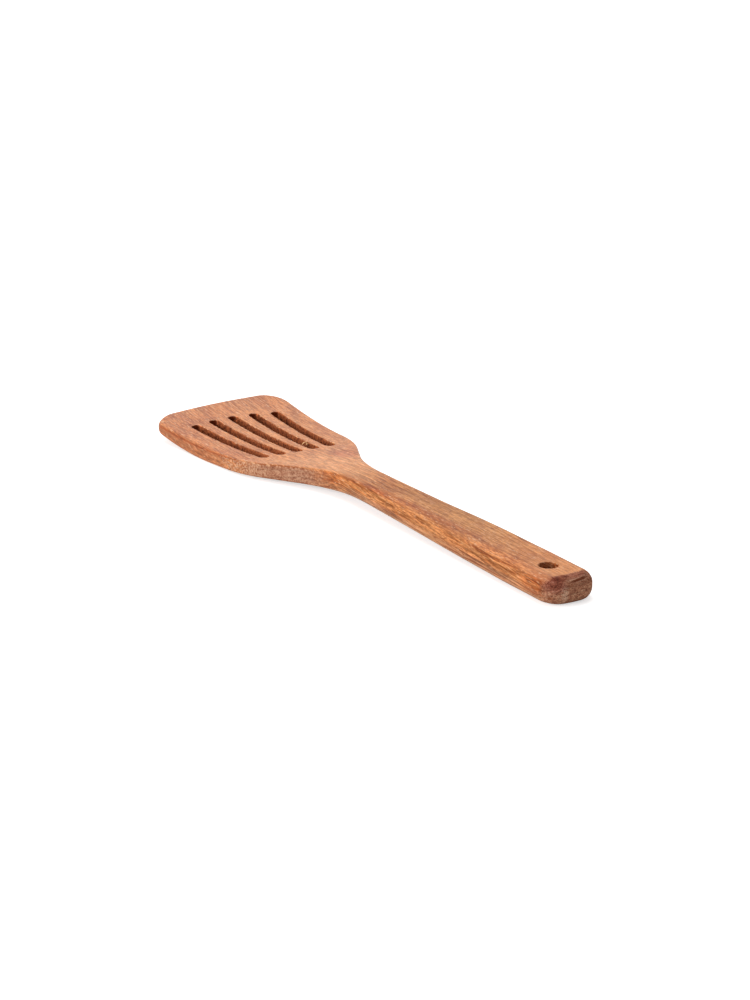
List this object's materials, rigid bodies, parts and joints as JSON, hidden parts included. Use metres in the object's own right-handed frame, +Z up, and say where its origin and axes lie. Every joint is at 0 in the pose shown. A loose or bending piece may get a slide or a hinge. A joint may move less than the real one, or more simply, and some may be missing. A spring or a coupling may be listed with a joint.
{
  "type": "slotted turner",
  "caption": "Carved wooden slotted turner with a dished, flared blade, fanned drain slots, sloping shoulders and a straight handle with a hang hole.",
  "frame": {"origin": "on the table, below the middle of the turner's length and width", "axes": "+X along the handle toward its end, +Y across the blade, +Z up from the blade's dished face"},
  "size_m": [0.321, 0.075, 0.0128],
  "materials": {
    "oiled_hardwood": "sanded and oiled, satin"
  },
  "bodies": {
    "root": {"turner": "oiled_hardwood"}
  },
  "joints": []
}
